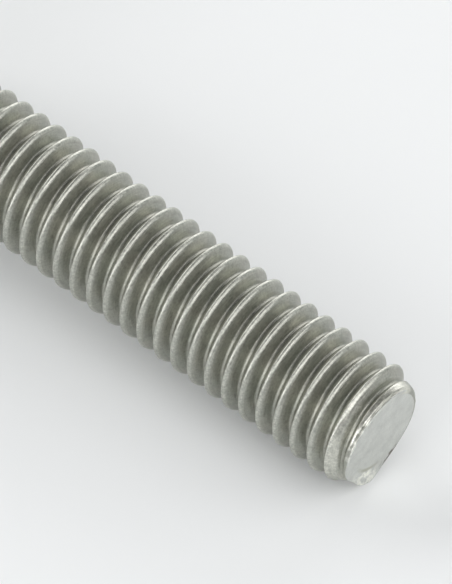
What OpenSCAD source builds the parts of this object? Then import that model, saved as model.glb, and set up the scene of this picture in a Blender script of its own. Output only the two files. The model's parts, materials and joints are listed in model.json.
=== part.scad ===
// Square head machine screw, one piece of plain stainless steel.
// It lies as it comes to rest on a level surface: one flat of the head faces down, the shank runs along +X,
// and the screw leans on the lower edge of the head's bearing face and on the last full turn of its thread.
// The origin is on that surface, under the middle of the screw's box.

/* [Thread] */
// Outer diameter of the thread
thread_d = 6; // [5:0.25:8]
// Distance from one turn to the next, single start and right hand
pitch = 1; // [0.8:0.05:1.25]
// Angle between the two flanks of a turn
flank_angle = 60; // [55:1:65]
// Width of the flat along a crest
crest_flat = 0.2; // [0.1:0.01:0.3]
// Width of the flat along the bottom of the groove
root_flat = 0.12; // [0.06:0.01:0.2]
// Length over which the thread grows out of the neck
run_out_l = 1.6; // [0.8:0.1:3]
// Angle round the shank, from straight down, at which a crest reaches the end face
crest_angle = 195; // [0:5:355]

/* [Shank] */
// Length from the head's bearing face to the end of the point
shank_l = 30; // [20:1:40]
// Length of the plain neck between the head and the thread
neck_l = 1.4; // [1:0.1:4]
// Radius of the fillet between the neck and the head
neck_fillet = 0.4; // [0.2:0.05:0.8]
// Length of the chamfer at the point
point_l = 1; // [0.5:0.1:2]
// Depth of that chamfer at the end face, measured in from the crests
point_drop = 0.45; // [0.3:0.05:0.6]

/* [Head] */
// Width of the square head across its flats
head_w = 10; // [9:0.25:14]
// Height of the head
head_h = 4; // [3:0.1:7]
// How far the head's corners are rounded back from sharp
corner_cut = 0.3; // [0.1:0.05:0.6]
// Angle of the chamfer on the top of the head
top_angle = 30; // [15:1:40]
// Distance from each flat to the round edge of the head's top
top_margin = 0.25; // [0.1:0.05:0.6]

/* [Hidden] */
$fn = 96;
// Facets in one turn of the thread
columns = 40;
// Radial step where the thread starts on the end of the neck
thread_step = 0.03;
// Room by which a cutting shape stands outside what it trims
spare = 1;

// Thread profile, worked out from its flats and flank angle
thread_r = thread_d / 2;
flank_run = (pitch - crest_flat - root_flat) / 2;
thread_depth = flank_run / tan(flank_angle / 2);
root_r = thread_r - thread_depth;
// The thread is rolled on a blank of its mean diameter, which the neck keeps
neck_r = thread_r - thread_depth / 2;

// One turn of the profile, from crest to crest: distance along the axis from the crest's middle, and radius
profile = [
    [-crest_flat / 2, thread_r],
    [crest_flat / 2, thread_r],
    [crest_flat / 2 + flank_run, root_r],
    [pitch - crest_flat / 2 - flank_run, root_r]
];
rows_per_turn = len(profile);
profile_closed = concat(profile, [[pitch - crest_flat / 2, thread_r]]);

// Crests under the shank, where it faces straight down: the one nearest the end face, and the first before the neck
last_crest_z = shank_l - pitch * crest_angle / 360;
first_crest_z = last_crest_z - pitch * (ceil((last_crest_z - neck_l) / pitch) + 1);
rows = rows_per_turn * ceil((shank_l - first_crest_z) / pitch + 1);
// Vertices closer than this to an end plane of the thread are put on it
snap = pitch / columns / 2;

// Rest: the tip-side edge of the last crest that the chamfer leaves whole, and the lean that sets it on the floor
whole_l = shank_l - point_l;
last_edge_z = last_crest_z + crest_flat / 2;
rest_z = last_edge_z - pitch * ceil(max(last_edge_z - whole_l, 0) / pitch);
lean = atan2(head_w / 2 - thread_r, rest_z);
lift = head_w / 2 * cos(lean);
// Middle of the lying screw along X, between the top of the head and the end face
point_r = thread_r - point_drop;
top_r = head_w / 2 - top_margin;
tip_x = shank_l * cos(lean) + point_r * sin(lean);
tail_x = -head_h * cos(lean) - top_r * sin(lean);
middle_x = (tip_x + tail_x) / 2;

// Place of one profile row along the axis, at one column round the shank
function row_z(row, column) =
    first_crest_z + pitch * (floor(row / rows_per_turn) + column / columns) + profile[row % rows_per_turn][0];

// Radius of the thread on a column, with the run-out that grows from the neck
function grown(z) = min(max((z - neck_l) / run_out_l, 0), 1);
function run_out(radius, z) = (neck_r - thread_step) * (1 - grown(z)) + radius * grown(z);

// Radius of the full thread at a place along the axis and a column round the shank
function turn_share(z, column) = (z - first_crest_z + crest_flat / 2) / pitch - column / columns;
function profile_at(z, column) =
    let (share = turn_share(z, column))
    lookup((share - floor(share)) * pitch - crest_flat / 2, profile_closed);

function on_column(radius, column, z) =
    [radius * cos(360 * column / columns), radius * sin(360 * column / columns), z];

// Numbers of the vertices: the rows first, then the ring and the centre at each end
first_ring = (rows + 1) * columns;
last_ring = first_ring + columns;
first_centre = last_ring + columns;
last_centre = first_centre + 1;

// A column past the last is the first column one turn on, and a row past an end is on that end's ring
function vertex(row, column) =
    column == columns ? vertex(row + rows_per_turn, 0)
    : row_z(row, column) < neck_l + snap ? first_ring + column
    : row_z(row, column) > shank_l - snap ? last_ring + column
    : row * columns + column;

function is_triangle(face) = face[0] != face[1] && face[1] != face[2] && face[2] != face[0];

module thread() {
    points = [
        for (row = [0 : rows], column = [0 : columns - 1])
            let (z = min(max(row_z(row, column), neck_l), shank_l))
            on_column(run_out(profile[row % rows_per_turn][1], z), column, z),
        for (column = [0 : columns - 1]) on_column(neck_r - thread_step, column, neck_l),
        for (column = [0 : columns - 1]) on_column(profile_at(shank_l, column), column, shank_l),
        [0, 0, neck_l],
        [0, 0, shank_l]
    ];
    // Two triangles for each cell of the helix
    cells = [
        for (row = [0 : rows - 1], column = [0 : columns - 1])
            let (
                a = vertex(row, column),
                b = vertex(row, column + 1),
                c = vertex(row + 1, column + 1),
                d = vertex(row + 1, column)
            )
            each [[a, d, c], [a, c, b]]
    ];
    caps = [
        for (column = [0 : columns - 1])
            let (next = (column + 1) % columns)
            each [
                [first_centre, first_ring + column, first_ring + next],
                [last_centre, last_ring + next, last_ring + column]
            ]
    ];
    polyhedron(points, [for (face = concat(cells, caps)) if (is_triangle(face)) face]);
}

// Turned outline that cuts the thread's first turn to the point's chamfer
module point_cone() {
    slope = point_drop / point_l;
    cone_l = shank_l - neck_l;
    translate([0, 0, neck_l])
        cylinder(h = cone_l, r1 = point_r + slope * cone_l, r2 = point_r);
}

// Plain stretch under the head, with its fillet
module neck() {
    cylinder(h = neck_l, r = neck_r);
    rotate_extrude()
        difference() {
            square([neck_r + neck_fillet, neck_fillet]);
            translate([neck_r + neck_fillet, neck_fillet]) circle(neck_fillet);
        }
}

// Square with rounded corners, under the cone that chamfers its top
module head() {
    corner_r = head_w / sqrt(2) - corner_cut;
    cone_h = head_h + spare;
    translate([0, 0, -head_h])
        intersection() {
            translate([-head_w / 2, -head_w / 2, 0]) cube([head_w, head_w, head_h]);
            cylinder(h = head_h, r = corner_r);
            cylinder(h = cone_h, r1 = top_r, r2 = top_r + cone_h / tan(top_angle));
        }
}

module screw() {
    color("silver")
        translate([-middle_x, 0, lift])
            rotate([0, 90 + lean, 0])
                union() {
                    head();
                    neck();
                    intersection() {
                        thread();
                        point_cone();
                    }
                }
}

screw();
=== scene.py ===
"""Looks of a square head machine screw on a pale surface: rolled thread, satin stainless steel."""
import json
import math

import bmesh
import bpy
from mathutils import Matrix, Vector


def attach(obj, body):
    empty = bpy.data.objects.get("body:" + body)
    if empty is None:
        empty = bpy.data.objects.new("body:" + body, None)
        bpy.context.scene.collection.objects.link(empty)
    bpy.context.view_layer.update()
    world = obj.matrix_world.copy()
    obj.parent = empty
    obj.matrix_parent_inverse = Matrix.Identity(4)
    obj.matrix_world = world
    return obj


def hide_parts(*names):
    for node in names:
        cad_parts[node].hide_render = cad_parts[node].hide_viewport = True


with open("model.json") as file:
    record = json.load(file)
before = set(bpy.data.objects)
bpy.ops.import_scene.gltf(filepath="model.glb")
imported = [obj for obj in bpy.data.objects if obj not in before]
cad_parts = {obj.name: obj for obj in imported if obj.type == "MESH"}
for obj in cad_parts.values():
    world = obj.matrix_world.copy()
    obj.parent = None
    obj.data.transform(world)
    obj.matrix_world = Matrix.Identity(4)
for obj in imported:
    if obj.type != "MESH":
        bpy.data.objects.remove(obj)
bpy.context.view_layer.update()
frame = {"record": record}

MM = 0.001
FULL_TURN = 2 * math.pi

# Thread, in millimetres: the flats are those of the plain profile, and set its depth
THREAD_R = 3.0
PITCH = 1.0
FLANK_ANGLE = math.radians(60)
CREST_FLAT = 0.2
ROOT_FLAT = 0.12
THREAD_DEPTH = (PITCH - CREST_FLAT - ROOT_FLAT) / 2 / math.tan(FLANK_ANGLE / 2)
ROOT_R = THREAD_R - THREAD_DEPTH
RUN_OUT_L = 1.6
# Angle round the shank, from straight down, at which a crest reaches the end face
CREST_ANGLE = math.radians(195)

# Rolled profile: the crest's ends from its middle, curves of crest and root, and rounding of the corners
CREST_BACK = 0.12
CREST_FRONT = 0.06
CREST_CURVE = 0.6
ROOT_CURVE = 1.0
BACK_ROUND = 0.1
FRONT_ROUND = 0.28
ROOT_ROUND = 0.02

# Shank, in millimetres, measured from the head's bearing face
SHANK_L = 30.0
NECK_L = 1.4
NECK_R = THREAD_R - THREAD_DEPTH / 2
NECK_FILLET = 0.4
POINT_L = 1.0
POINT_DROP = 0.45
POINT_R = THREAD_R - POINT_DROP
POINT_ROUND = 0.1

# Head, in millimetres
CORNERS = 4
HEAD_W = 10.0
HEAD_H = 4.0
CORNER_CUT = 0.3
TOP_ANGLE = math.radians(30)
TOP_MARGIN = 0.25
TOP_R = HEAD_W / 2 - TOP_MARGIN
EDGE_ROUND = 0.12

# Facets: columns round the shank crowd at the head's corners, and rows across a turn crowd at its crest
COLUMNS = 80
CORNER_CROWD = 0.8
ROWS = 36
ROW_CROWD = 0.25
# Rows nearer to an end of the thread than half the widest step, with this spare, lie on it
ROW_SPARE = 1.02
# Rows of the end face nearer to its middle than this share of its radius meet there
MIDDLE_SHARE = 0.04
# Vertices that are nearer to each other than this, in millimetres, become one
HEAD_MERGE = 1e-4
THREAD_MERGE = 1e-3
# Rounding error that is let pass, in millimetres
TINY = 1e-6

# Place of the screw: its own Z runs from the head's bearing face to the point, and its own X faces down
mounts = {mount["name"]: mount for mount in frame["record"]["mounts"]}
bearing = Vector(mounts["bearing_face"]["pos_m"])
axis = Vector(mounts["bearing_face"]["axis"]).normalized()
sideways = Vector((0, 1, 0))
downward = sideways.cross(axis)
place = Matrix.Translation(bearing) @ Matrix((downward, sideways, axis)).transposed().to_4x4()
point_centre = bearing + axis * SHANK_L * MM


# Node trees

class Tree:
    """A node tree, and the one way in which its nodes are added."""

    def __init__(self, tree):
        self.tree = tree

    def add(self, kind, inputs=None, output=0, **settings):
        node = self.tree.nodes.new(kind)
        for name, value in settings.items():
            setattr(node, name, value)
        for key, value in (inputs or {}).items():
            for one in value if isinstance(value, list) else [value]:
                self.feed(node.inputs[key], one)
        return Socket(self, node.outputs[output]) if node.outputs else None

    def feed(self, socket, value):
        if isinstance(value, Socket):
            self.tree.links.new(value.socket, socket)
        else:
            socket.default_value = value


class Socket:
    """A node's output, with the operators that add Math nodes."""

    def __init__(self, tree, socket):
        self.tree = tree
        self.socket = socket

    def other(self, output):
        """Another output of the same node."""
        return Socket(self.tree, self.socket.node.outputs[output])

    def math(self, operation, *values, clamp=False):
        """A Math node with this output as its first value."""
        inputs = dict(enumerate((self, *values)))
        return self.tree.add("ShaderNodeMath", inputs, operation=operation, use_clamp=clamp)

    def reflected(self, operation, value):
        """A Math node with this output as its second value."""
        return self.tree.add("ShaderNodeMath", {0: value, 1: self}, operation=operation)

    def __add__(self, value):
        return self.math("ADD", value)

    def __radd__(self, value):
        return self.reflected("ADD", value)

    def __sub__(self, value):
        return self.math("SUBTRACT", value)

    def __rsub__(self, value):
        return self.reflected("SUBTRACT", value)

    def __mul__(self, value):
        return self.math("MULTIPLY", value)

    def __rmul__(self, value):
        return self.reflected("MULTIPLY", value)

    def __truediv__(self, value):
        return self.math("DIVIDE", value)

    def __rtruediv__(self, value):
        return self.reflected("DIVIDE", value)

    def __abs__(self):
        return self.math("ABSOLUTE")

    def clamped(self):
        """The value held between 0 and 1."""
        return self.math("ADD", 0, clamp=True)

    def smooth(self, start, end):
        """0 up to the start and 1 from the end on, with a soft step between them."""
        inputs = {"Value": self, "From Min": start, "From Max": end}
        return self.tree.add("ShaderNodeMapRange", inputs, interpolation_type="SMOOTHSTEP")


def noise(tree, spot, scale, detail):
    """A soft random pattern between 0 and 1."""
    return tree.add("ShaderNodeTexNoise", {"Vector": spot, "Scale": scale, "Detail": detail})


def uneven(tree, spot, scale, detail):
    """The same pattern with its middle at 0."""
    return noise(tree, spot, scale, detail) - 0.5


def near_angle(angle, middle, reach, gain=1):
    """1 at an angle round the shank, falling softly to 0 at its reach to either way; both in degrees.

    A gain above 1 keeps it at 1 over a wider stretch."""
    away = angle - math.radians(middle)
    away = abs(away.math("WRAP", math.pi, -math.pi))
    near = away.smooth(math.radians(reach), 0.0)
    return near if gain == 1 else (near * gain).clamped()


# Head and neck

def square_radius(angle):
    """Distance from the axis to the head's outline: flats, with corners rounded back."""
    side = FULL_TURN / CORNERS
    from_flat = (angle + side / 2) % side - side / 2
    flat = HEAD_W / 2 / math.cos(from_flat)
    corner = HEAD_W / math.sqrt(2) - CORNER_CUT
    blend = max(EDGE_ROUND - abs(flat - corner), 0) / EDGE_ROUND
    return min(flat, corner) - blend * blend * EDGE_ROUND / 4


def straight_run(start, end, steps=6):
    """Points at even steps from a start to an end, without the start."""
    return [start.lerp(end, step / steps) for step in range(1, steps + 1)]


def rounded_path(corners, rounds, arc_steps=5):
    """Points along straight runs between corners, with inner corners rounded off by given distances."""
    points = [corners[0]]
    for before, corner, after, distance in zip(corners, corners[1:], corners[2:], rounds):
        start = corner + (before - corner).normalized() * distance
        end = corner + (after - corner).normalized() * distance
        points += straight_run(points[-1], start)
        for step in range(1, arc_steps + 1):
            share = step / arc_steps
            points.append(start.lerp(corner, share).lerp(corner.lerp(end, share), share))
    return points + straight_run(points[-1], corners[-1])


def head_column(angle):
    """Section of the head and the neck at one angle, as distance from the axis and place along it."""
    outline = square_radius(angle)
    chamfer = (outline - TOP_R) * math.tan(TOP_ANGLE)
    corners = [
        Vector((0, -HEAD_H)),
        Vector((TOP_R, -HEAD_H)),
        Vector((outline, -HEAD_H + chamfer)),
        Vector((outline, 0)),
        Vector((NECK_R, 0)),
        Vector((NECK_R, NECK_L)),
    ]
    return rounded_path(corners, [EDGE_ROUND, EDGE_ROUND, EDGE_ROUND, NECK_FILLET])


def head_and_neck():
    """Mesh of the head and the neck, in the screw's own axes, open where the thread starts."""
    mesh = bmesh.new()
    rings = []
    for column in range(COLUMNS):
        even = FULL_TURN * column / COLUMNS
        crowded = even + CORNER_CROWD / CORNERS * math.sin(CORNERS * even)
        ring = []
        for radius, along in head_column(crowded):
            # Under the head the columns spread out evenly again, from the head's edge in to the neck
            under_head = along > -TINY
            share = (radius - NECK_R) / (square_radius(crowded) - NECK_R)
            angle = even + (crowded - even) * (max(share, 0) if under_head else 1)
            spot = Vector((radius * math.cos(angle), radius * math.sin(angle), along)) * MM
            ring.append(mesh.verts.new(spot))
        rings.append(ring)
    for ring, after in zip(rings, rings[1:] + rings[:1]):
        for first, second, third, fourth in zip(ring, after, after[1:], ring[1:]):
            mesh.faces.new((first, fourth, third, second))
    bmesh.ops.remove_doubles(mesh, verts=mesh.verts, dist=HEAD_MERGE * MM)
    bmesh.ops.recalc_face_normals(mesh, faces=mesh.faces)
    data = bpy.data.meshes.new("screw")
    mesh.to_mesh(data)
    mesh.free()
    return data


# Thread, grown on the neck by geometry nodes

THREAD_SIZES = {
    "Thread Radius": THREAD_R,
    "Thread Depth": THREAD_DEPTH,
    "Crest Back": CREST_BACK,
    "Crest Front": CREST_FRONT,
    "Crest Curve": CREST_CURVE,
    "Back Round": BACK_ROUND,
    "Front Round": FRONT_ROUND,
    "Root Round": ROOT_ROUND,
    "Root Curve": ROOT_CURVE,
    "Pitch": PITCH,
    "Neck Radius": NECK_R,
    "Neck Length": NECK_L,
    "Run Out": RUN_OUT_L,
    "Shank Length": SHANK_L,
    "Point Radius": POINT_R,
    "Point Length": POINT_L,
    "Point Round": POINT_ROUND,
}

# Sides of the point with marks in its shape: middle and reach in degrees from straight down, and gain
POINT_SIDES = {
    "upper": (112, 60),
    "worn": (245, 125, 1.5),
    "undercut": (215, 80),
    "far": (75, 105, 1.4),
    "lip": (342, 30),
    "dent": (305, 24),
}

# Sizes of those marks, in millimetres, with slopes in millimetres of radius for each millimetre along
UPPER_FADE = (1.0, 0.7)
UPPER_CUT = 0.08
UPPER_SLOPE = 0.2
UPPER_ROUND = 0.12
WORN_L = 0.55
WORN_RISE = 0.07
WORN_SLOPE = 0.9
PIT_DEPTH = 0.08
RIM_DROP = 0.03
RIM_UPPER_DROP = 0.1
RIM_SLOPE = 1.5
RIM_ROUND = 0.04
UNDERCUT_L = 0.07
UNDERCUT_DEPTH = 0.07
FAR_ROUND_L = 0.2
FAR_ROUND_DEPTH = 0.12
LIP_L = 0.35
LIP_OUT = 0.14
DENT_L = 0.35
DENT_DEPTH = 0.08
BURR_L = 0.1
BURR_OUT = 0.14

# Relief of the end face, in millimetres: its reach back along the shank, and for each mark the radii
# between which it grows and how far it rises or falls
RELIEF_L = 0.3
LIP_RISE_R = (1.9, 2.5)
LIP_RISE = 0.12
BURR_RISE_R = (2.3, 2.5)
BURR_RISE = 0.05
BURR_RISE_UNEVEN = 0.12
FAR_FALL_R = (2.15, 2.5)
FAR_FALL = 0.07

# Patterns round the point: scale and detail of the pits and of the burr, and their stretch along it
PITS = (5.0, 3.0)
BURR = (7.0, 2.0)
POINT_STRETCH = 0.6


def rolled_depth(size, beside):
    """Depth of the thread below the top of its crest, at a distance along from the crest's middle.

    The profile has a steep back flank, a crest rounded towards the point, a front flank and a root."""
    steep = 1 / math.tan(FLANK_ANGLE / 2)
    past_back = beside + size["Crest Back"]
    over_crest = past_back.math("MAXIMUM", 0.0)
    depth = over_crest * over_crest * size["Crest Curve"]
    depth = depth.math("SMOOTH_MAX", past_back * -steep, size["Back Round"])
    front = (beside - size["Crest Front"]) * steep
    depth = depth.math("SMOOTH_MAX", front, size["Front Round"])
    from_root = beside - (size["Pitch"] + size["Crest Front"] - size["Crest Back"]) / 2
    from_root = from_root.math("WRAP", PITCH / 2, -PITCH / 2)
    root = size["Thread Depth"] - from_root * from_root * size["Root Curve"]
    return depth.math("SMOOTH_MIN", root, size["Root Round"])


def point_chamfer(size, radius, to_end, upper):
    """Radius cut down to the point's chamfer, which is flatter and rounder on the upper side."""
    slope = (size["Thread Radius"] - size["Point Radius"]) / size["Point Length"]
    cone = size["Point Radius"] + to_end * slope - upper * (UPPER_CUT + to_end * UPPER_SLOPE)
    return radius.math("SMOOTH_MIN", cone, size["Point Round"] + upper * UPPER_ROUND)


def worn_turn(size, radius, to_end, worn_side, pits):
    """Radius with the last full turn worn down and pitted on one side."""
    past_wear = (to_end - WORN_L).math("MAXIMUM", 0.0)
    worn = size["Point Radius"] + WORN_RISE + past_wear * WORN_SLOPE + pits * PIT_DEPTH
    return radius - (radius - worn).math("MAXIMUM", 0.0) * worn_side


def point_edge(size, radius, to_end, upper, side, burr):
    """Radius with the marks round the end face: rim, undercut, rounded far side, lip, dent and burr."""
    rim = size["Point Radius"] - RIM_DROP - upper * RIM_UPPER_DROP - to_end * RIM_SLOPE
    radius = radius.math("SMOOTH_MAX", rim, RIM_ROUND)
    undercut = abs(to_end - UNDERCUT_L).smooth(UNDERCUT_L, 0.0) * side["undercut"]
    radius = radius - undercut * UNDERCUT_DEPTH
    edge = (1 - to_end / FAR_ROUND_L).clamped()
    radius = radius - side["far"] * edge * edge * FAR_ROUND_DEPTH
    radius = radius + side["lip"] * to_end.smooth(LIP_L, 0.0) * LIP_OUT
    radius = radius - side["dent"] * to_end.smooth(DENT_L, 0.0) * DENT_DEPTH
    return radius + burr * to_end.smooth(BURR_L, 0.0) * BURR_OUT


def face_relief(radius, side, burr):
    """How far the end face stands out along the shank: lip and burr rise, and the far edge falls."""
    relief = side["lip"] * radius.smooth(*LIP_RISE_R) * LIP_RISE
    burr_rise = BURR_RISE + burr * BURR_RISE_UNEVEN
    relief = relief + radius.smooth(*BURR_RISE_R) * (1 - side["far"]) * burr_rise
    return relief - radius.smooth(*FAR_FALL_R) * side["far"] * FAR_FALL


def thread_tree(material):
    """Node tree that adds the rolled thread and the point to the neck of the mesh that comes in."""
    group = bpy.data.node_groups.new("rolled_thread", "GeometryNodeTree")
    group.interface.new_socket("Geometry", in_out="INPUT", socket_type="NodeSocketGeometry")
    for name in THREAD_SIZES:
        group.interface.new_socket(name, in_out="INPUT", socket_type="NodeSocketFloat")
    group.interface.new_socket("Geometry", in_out="OUTPUT", socket_type="NodeSocketGeometry")
    tree = Tree(group)
    given = tree.add("NodeGroupInput", output="Geometry")
    size = {name: given.other(name) for name in THREAD_SIZES}

    # A strip one pitch wide that winds round the shank, from before the neck's end to past the point:
    # it starts as a square about the origin, one unit wide
    last_crest = SHANK_L - PITCH * CREST_ANGLE / FULL_TURN
    first_crest = last_crest - PITCH * (math.ceil((last_crest - NECK_L) / PITCH) + 1)
    turns = math.ceil((SHANK_L - first_crest) / PITCH) + 2
    counts = {"Vertices X": turns * COLUMNS + 1, "Vertices Y": ROWS + 1, "Size X": 1, "Size Y": 1}
    strip = tree.add("GeometryNodeMeshGrid", counts)
    strip_x = tree.add("ShaderNodeSeparateXYZ", {0: tree.add("GeometryNodeInputPosition")})
    strip_y = strip_x.other("Y")
    turn = (strip_x + 0.5) * turns
    across = strip_y - (strip_y * FULL_TURN).math("SINE") * (ROW_CROWD / FULL_TURN)
    run = first_crest + size["Pitch"] * (turn + across)

    # Rows within half a step of an end lie on it, and rows past the point close its end face
    half_row = ROW_SPARE * (1 + ROW_CROWD) * PITCH / ROWS / 2
    past_point = run - size["Shank Length"]
    at_point = past_point.math("GREATER_THAN", -half_row)
    along = run.math("MAXIMUM", size["Neck Length"])
    at_neck = run.math("LESS_THAN", size["Neck Length"] + half_row)
    along = along + at_neck * (size["Neck Length"] - along)
    along = along + at_point * (size["Shank Length"] - along)
    to_end = size["Shank Length"] - along

    # The thread grows out of the neck
    share = (along - first_crest) / size["Pitch"] - turn
    beside = share.math("WRAP", 0.5, -0.5) * size["Pitch"]
    radius = size["Thread Radius"] - rolled_depth(size, beside)
    grown = ((along - size["Neck Length"]) / size["Run Out"]).smooth(0.0, 1.0)
    radius = size["Neck Radius"] + (radius - size["Neck Radius"]) * grown

    # The point: its chamfer, the worn turn and the marks round the end face
    angle = turn.math("FRACT") * FULL_TURN
    round_x = angle.math("COSINE")
    round_y = angle.math("SINE")
    round_spot = tree.add("ShaderNodeCombineXYZ", {
        "X": round_x,
        "Y": round_y,
        "Z": along * POINT_STRETCH,
    })
    side = {name: near_angle(angle, *span) for name, span in POINT_SIDES.items()}
    upper = side["upper"] * to_end.smooth(*UPPER_FADE)
    burr = uneven(tree, round_spot, *BURR) * (1 - side["lip"])
    radius = point_chamfer(size, radius, to_end, upper)
    radius = worn_turn(size, radius, to_end, side["worn"], uneven(tree, round_spot, *PITS))
    radius = point_edge(size, radius, to_end, upper, side, burr)

    # Rows past the point run in to the middle of the end face
    inward = (1 - (past_point - half_row) / size["Pitch"]).clamped()
    inward = inward * inward.math("GREATER_THAN", MIDDLE_SHARE)
    radius = radius * inward
    relief = face_relief(radius, side, burr) * to_end.smooth(RELIEF_L, 0.0)

    wound = tree.add("ShaderNodeCombineXYZ", {
        "X": radius * round_x * MM,
        "Y": radius * round_y * MM,
        "Z": (along + relief) * MM,
    })
    strip = tree.add("GeometryNodeSetPosition", {"Geometry": strip, "Position": wound})
    whole = tree.add("GeometryNodeJoinGeometry", {"Geometry": [strip, given]})
    whole = tree.add("GeometryNodeMergeByDistance", {"Geometry": whole, "Distance": THREAD_MERGE * MM})
    whole = tree.add("GeometryNodeSetShadeSmooth", {"Geometry": whole})
    whole = tree.add("GeometryNodeRealizeInstances", {"Geometry": whole})
    whole = tree.add("GeometryNodeSetMaterial", {"Geometry": whole, "Material": material})
    tree.add("NodeGroupOutput", {"Geometry": whole})
    return group


def make_screw(material):
    """The whole screw as one plain mesh, laid in its place."""
    screw = bpy.data.objects.new("screw_body", head_and_neck())
    bpy.context.scene.collection.objects.link(screw)
    group = thread_tree(material)
    thread = screw.modifiers.new("thread", "NODES")
    thread.node_group = group
    for item in group.interface.items_tree:
        if item.in_out == "INPUT" and item.name in THREAD_SIZES:
            thread[item.identifier] = float(THREAD_SIZES[item.name])
    evaluated = screw.evaluated_get(bpy.context.evaluated_depsgraph_get())
    mesh = bpy.data.meshes.new_from_object(evaluated)
    screw.modifiers.remove(thread)
    screw.data = mesh
    mesh.transform(place)
    facing = bmesh.new()
    facing.from_mesh(mesh)
    bmesh.ops.recalc_face_normals(facing, faces=facing.faces)
    facing.to_mesh(mesh)
    facing.free()
    return screw


# Materials

# Zones of the steel, in millimetres from the axis or the bearing face: where each starts and is full
CREST_ZONE = (THREAD_R - 0.16, THREAD_R - 0.03)
ROOT_ZONE = (ROOT_R + 0.2, ROOT_R + 0.06)
THREAD_ZONE = (NECK_L + 0.3, NECK_L + RUN_OUT_L)
END_FACE_ZONE = (SHANK_L - 0.012, SHANK_L - 0.004)
TIP_ZONE = (SHANK_L - 0.25, SHANK_L - 0.1)
SHOULDER_HIGHLIGHT_ZONE = (SHANK_L - 0.45, SHANK_L - 0.3)
LAST_TURN_ZONE = (SHANK_L - 1.5, SHANK_L - 1.3)
LIP_ZONE = (1.85, 2.1)
BURR_ZONE = (2.3, 2.42)
SHADE_STREAK_ZONE = (2.0, 2.16)
# Radius and fade of the painted shade line along the step at the lip
LIP_SHADE_LINE_R = 1.86
LIP_SHADE_LINE_FADE = (0.16, 0.02)
# The same across a turn, in pitches from the middle of its crest
LINES_ZONE = (0.5, 0.4)
LAST_CREST_ZONE = (0.45, 0.2)

# Sides of the shank with marks in the steel, painted highlights and painted shade: middle and reach in
# degrees from straight down, and gain
STEEL_SIDES = {
    "lip": (332, 36),
    "lip shade line": (330, 40),
    "burr": (226, 52),
    "shoulder_highlight": (150, 28),
    "last turn": (240, 95, 1.5),
    "shade_streak": (21, 24),
}

# Patterns: scale and detail, and the steps that make patches of some of them
GRAIN = (9.0, 3.0)
MOTTLE = (3.2, 4.0)
BLOTCH = (1.7, 3.0)
CLOUD = (0.8, 2.0)
CLOUD_STEP = (0.35, 0.65)
SPECKS = (3.0, 5.0)
SPECKS_STEP = (0.42, 0.62)
SCUFFS = (5.0, 4.0)
SCUFFS_STEP = (0.45, 0.65)

# Rolling lines: how fine they are across a turn, their pattern, and its shift from one turn to the next
LINES_ACROSS = 14
LINES_SCALE = 2.2
LINES_DETAIL = 3.0
LINES_ROUGHNESS = 0.6
LINES_SHIFT = 3.7

# Colours of the steel
FLANK_GREY = (0.368, 0.376, 0.332, 1)
FLANK_WARM = (0.396, 0.396, 0.35, 1)
CREST_BRIGHT = (0.488, 0.495, 0.445, 1)
END_FACE_GREY = (0.63, 0.64, 0.61, 1)
# Painted shade along the step between the end face and its lip
LIP_PAINTED_SHADE = (0.4, 0.4, 0.31, 1)
# Fresh metal of lip and burr, near white so that its specks stand as painted glints
FRESH_METAL_AND_GLINT = (0.95, 0.95, 0.88, 1)
# Colour of the scuffed last turn, and of the painted highlight on the point's upper shoulder
RUBBED_METAL_AND_HIGHLIGHT = (0.9, 0.9, 0.82, 1)
# Painted shade on the far edge of the end face, below its burr
SHADE_STREAK_DARK = (0.16, 0.14, 0.11, 1)

# How strongly the painted shade line at the lip, the painted highlight on the shoulder and the scuffs
# colour the steel, and how evenly the last turn is scuffed
LIP_SHADE_LINE_SHARE = 0.7
SHOULDER_HIGHLIGHT_SHARE = 0.7
SCUFF_SHARE = 0.55
SCUFF_EVEN = 0.6
SCUFF_PATCHY = 0.4

# How strongly the patterns lighten and darken it
GRAIN_TONE = 0.7
CREST_GRAIN_TONE = 0.4
LINES_TONE = 0.6
BLOTCH_TONE = 0.35
MOTTLE_TONE = 0.35
# Grain that the end face lacks
END_FACE_CALM = 0.6

# Roughness of the flanks, and what crests, roots, the end face and grain add to it
FLANK_ROUGH = 0.37
CREST_ROUGH = 0.03
ROOT_ROUGH = 0.1
END_FACE_ROUGH = 0.14
GRAIN_ROUGH = 0.25

# Heights of the fine relief, in millimetres
GRAIN_RELIEF = 0.008
LINES_RELIEF = 0.012
LIP_RELIEF = 0.03

# Surface that the screw lies on
FLOOR_PALE = (0.855, 0.87, 0.875, 1)
FLOOR_ROUGH = 0.9


def own_place(tree):
    """The screw's own coordinates in millimetres: Z from the bearing face to the point, X down."""
    where = tree.add("ShaderNodeTexCoord", output="Object")
    inputs = {"Vector": where, "Location": bearing, "Rotation": place.to_euler(), "Scale": (MM, MM, MM)}
    return tree.add("ShaderNodeMapping", inputs, vector_type="TEXTURE")


def mixed(tree, share, first, second, blend="MIX"):
    """First colour where the share is 0, second laid on it where the share is 1."""
    inputs = {"Factor": share, "A": first, "B": second}
    return tree.add("ShaderNodeMix", inputs, output="Result", data_type="RGBA", blend_type=blend)


def rolling_lines(tree, round_x, round_y, beside, number, thread):
    """Uneven lines that run along the helix, and differ from turn to turn."""
    winding = tree.add("ShaderNodeCombineXYZ", {
        "X": round_x,
        "Y": round_y,
        "Z": beside * LINES_ACROSS,
    })
    lines = tree.add("ShaderNodeTexNoise", {
        "Vector": winding,
        "W": number * LINES_SHIFT,
        "Scale": LINES_SCALE,
        "Detail": LINES_DETAIL,
        "Roughness": LINES_ROUGHNESS,
    }, noise_dimensions="4D")
    return (lines - 0.5) * (abs(beside).smooth(*LINES_ZONE) * thread)


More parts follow.
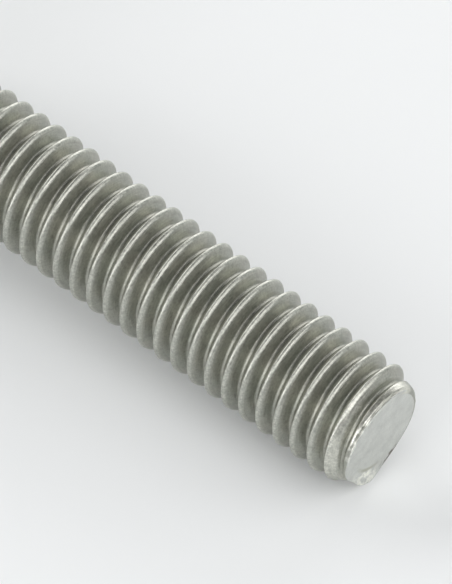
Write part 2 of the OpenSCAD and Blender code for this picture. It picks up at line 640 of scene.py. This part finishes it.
def stainless_steel():
    """Satin steel: bright crests, duller flanks and roots, a plain grey end face and a marked point,
    with some painted glints, a painted highlight and painted shade.
    """
    material = bpy.data.materials.new("stainless_steel")
    material.use_nodes = True
    material.node_tree.nodes.clear()
    tree = Tree(material.node_tree)
    own = own_place(tree)
    x = tree.add("ShaderNodeSeparateXYZ", {0: own})
    y = x.other("Y")
    z = x.other("Z")

    # Where on the thread: which turn, and how far across it from the middle of its crest, in pitches
    radius = (x * x + y * y).math("SQRT")
    angle = y.math("ARCTAN2", x).math("WRAP", FULL_TURN, 0.0)
    turn = (z - SHANK_L) / PITCH + (CREST_ANGLE - angle) / FULL_TURN
    number = turn.math("ROUND")
    beside = turn - number
    crest = radius.smooth(*CREST_ZONE)
    root = radius.smooth(*ROOT_ZONE)
    end_face = z.smooth(*END_FACE_ZONE)
    thread = z.smooth(*THREAD_ZONE) * (1 - end_face)

    # Lines and mottling are on the thread, blotches on the end face, grain and clouding everywhere
    lines = rolling_lines(tree, x / radius, y / radius, beside, number, thread)
    mottle = uneven(tree, own, *MOTTLE) * thread
    blotch = uneven(tree, own, *BLOTCH) * end_face
    grain = uneven(tree, own, *GRAIN) * (1 - end_face * END_FACE_CALM)
    cloud = noise(tree, own, *CLOUD).smooth(*CLOUD_STEP)

    # Marks at the point: fresh metal on lip and burr with painted glints, a painted shade line along the
    # lip's step, a painted highlight on the upper shoulder, a scuffed last turn, and painted shade along
    # the far edge of the end face
    side = {name: near_angle(angle, *span) for name, span in STEEL_SIDES.items()}
    tip = z.smooth(*TIP_ZONE)
    specks = noise(tree, own, *SPECKS).smooth(*SPECKS_STEP)
    lip = tip * side["lip"] * radius.smooth(*LIP_ZONE)
    burr = tip * side["burr"] * radius.smooth(*BURR_ZONE)
    # Painted shade line along the step between the end face and its lip
    lip_shade_line = tip * side["lip shade line"] * abs(radius - LIP_SHADE_LINE_R).smooth(*LIP_SHADE_LINE_FADE) * end_face
    # Painted highlight on the shoulder of the point's upper bevel
    shoulder_highlight = side["shoulder_highlight"] * z.smooth(*SHOULDER_HIGHLIGHT_ZONE) * (1 - end_face)
    last_turn = side["last turn"] * abs(beside).smooth(*LAST_CREST_ZONE)
    last_turn = last_turn * z.smooth(*LAST_TURN_ZONE) * (1 - tip)
    scuff = last_turn * (SCUFF_EVEN + noise(tree, own, *SCUFFS).smooth(*SCUFFS_STEP) * SCUFF_PATCHY)
    # Painted shade streak along the far edge of the end face, where the burr's underside lies in shade
    shade_streak = tip * side["shade_streak"] * radius.smooth(*SHADE_STREAK_ZONE) * (1 - specks)

    colour = mixed(tree, cloud, FLANK_GREY, FLANK_WARM)
    colour = mixed(tree, thread * crest, colour, CREST_BRIGHT)
    colour = mixed(tree, end_face, colour, END_FACE_GREY)
    colour = mixed(tree, lip_shade_line * LIP_SHADE_LINE_SHARE, colour, LIP_PAINTED_SHADE)
    # Fresh metal on lip and burr, in near-white specks painted as glints
    colour = mixed(tree, (lip + burr).clamped() * specks, colour, FRESH_METAL_AND_GLINT)
    colour = mixed(tree, shoulder_highlight * SHOULDER_HIGHLIGHT_SHARE + scuff * SCUFF_SHARE, colour, RUBBED_METAL_AND_HIGHLIGHT)
    colour = mixed(tree, shade_streak, colour, SHADE_STREAK_DARK)
    tone = 1 + grain * (GRAIN_TONE + thread * crest * CREST_GRAIN_TONE)
    tone = tone + lines * LINES_TONE + blotch * BLOTCH_TONE + mottle * MOTTLE_TONE
    grey = tree.add("ShaderNodeCombineColor", {"Red": tone, "Green": tone, "Blue": tone})
    colour = mixed(tree, 1.0, colour, grey, "MULTIPLY")

    rough = FLANK_ROUGH + thread * (crest * CREST_ROUGH + root * ROOT_ROUGH)
    rough = rough + end_face * END_FACE_ROUGH + grain * GRAIN_ROUGH
    relief = grain * GRAIN_RELIEF + lines * LINES_RELIEF + lip * specks * LIP_RELIEF
    normal = tree.add("ShaderNodeBump", {"Height": relief, "Distance": MM, "Strength": 1.0})
    shader = tree.add("ShaderNodeBsdfPrincipled", {
        "Base Color": colour,
        "Metallic": 1.0,
        "Roughness": rough.clamped(),
        "Normal": normal,
    })
    tree.add("ShaderNodeOutputMaterial", {"Surface": shader})
    return material


def pale_surface():
    material = bpy.data.materials.new("pale_surface")
    material.use_nodes = True
    shader = material.node_tree.nodes["Principled BSDF"]
    shader.inputs["Base Color"].default_value = FLOOR_PALE
    shader.inputs["Roughness"].default_value = FLOOR_ROUGH
    return material


# Stage: floor, light and camera

# Half the floor's width and the distance of the soft boxes from the origin, in metres
FLOOR_HALF = 1.0
BOX_DISTANCE = 0.5

# Soft boxes: azimuth and elevation in degrees, width in metres, and share of the floor's full brightness
SOFT_BOXES = {
    "key_box": (86, 50, 0.34, 0.23),
    "viewer_box": (50, 42, 0.3, 0.15),
    "front_box": (354, 25, 0.34, 0.175),
    "head_end_box": (267, 31, 0.5, 0.345),
    "back_box": (203, 10, 0.5, 0.12),
    "far_side_box": (132, 34, 0.36, 0.14),
}
DOME_COLOUR = (1, 1, 1, 1)
DOME_STRENGTH = 0.05

# Camera, from where the photograph shows the centre of the end face and how large it shows the thread:
# angles in degrees, lengths in millimetres
VIEW_AZIMUTH = 40.32
VIEW_ELEVATION = 50.23
POINT_PIXEL = (382.4, 436.0)
PIXELS_PER_MM = 22.485
POINT_DEPTH = 300.0
FRAME_PIXELS = (452, 584)
SENSOR = 36.0
CLIP_START = 1.0


def make_floor():
    mesh = bpy.data.meshes.new("floor")
    half = FLOOR_HALF
    corners = [(-half, -half, 0), (half, -half, 0), (half, half, 0), (-half, half, 0)]
    mesh.from_pydata(corners, [], [(0, 1, 2, 3)])
    mesh.materials.append(pale_surface())
    floor = bpy.data.objects.new("floor", mesh)
    bpy.context.scene.collection.objects.link(floor)
    return floor


def direction(azimuth, elevation):
    """Unit vector towards an azimuth and elevation in degrees: azimuth 0 is -Y, and 90 is +X."""
    around = math.radians(azimuth)
    rise = math.radians(elevation)
    level = math.cos(rise)
    return Vector((math.sin(around) * level, -math.cos(around) * level, math.sin(rise)))


def soft_box(name, azimuth, elevation, width, share):
    """A round soft light, given by the share of a white floor's full brightness that it brings."""
    lamp = bpy.data.lights.new(name, "AREA")
    lamp.shape = "DISK"
    lamp.size = width
    lamp.energy = share * math.pi ** 2 * BOX_DISTANCE ** 2 / math.sin(math.radians(elevation))
    box = bpy.data.objects.new(name, lamp)
    towards = direction(azimuth, elevation)
    box.location = towards * BOX_DISTANCE
    box.rotation_euler = towards.to_track_quat("Z", "Y").to_euler()
    bpy.context.scene.collection.objects.link(box)


def make_light():
    """Soft boxes all round the screw, the largest share from its head end, under a faint white dome."""
    world = bpy.data.worlds.new("studio")
    world.use_nodes = True
    background = world.node_tree.nodes["Background"]
    background.inputs["Color"].default_value = DOME_COLOUR
    background.inputs["Strength"].default_value = DOME_STRENGTH
    bpy.context.scene.world = world
    for name, box in SOFT_BOXES.items():
        soft_box(name, *box)


def make_camera():
    data = bpy.data.cameras.new("camera")
    data.sensor_width = SENSOR
    data.lens = PIXELS_PER_MM * POINT_DEPTH * SENSOR / max(FRAME_PIXELS)
    data.clip_start = CLIP_START * MM
    camera = bpy.data.objects.new("camera", data)
    back = direction(VIEW_AZIMUTH, VIEW_ELEVATION)
    turn = back.to_track_quat("Z", "Y")
    right = turn @ Vector((1, 0, 0))
    up = turn @ Vector((0, 1, 0))
    from_middle_x = (POINT_PIXEL[0] - FRAME_PIXELS[0] / 2) / PIXELS_PER_MM
    from_middle_y = (FRAME_PIXELS[1] / 2 - POINT_PIXEL[1]) / PIXELS_PER_MM
    shift = back * POINT_DEPTH - right * from_middle_x - up * from_middle_y
    camera.location = point_centre + shift * MM
    camera.rotation_euler = turn.to_euler()
    bpy.context.scene.collection.objects.link(camera)
    bpy.context.scene.camera = camera


bpy.context.scene.view_settings.view_transform = "Standard"
steel = stainless_steel()
screw = make_screw(steel)
floor = make_floor()
make_light()
make_camera()

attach(screw, "root")
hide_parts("screw")
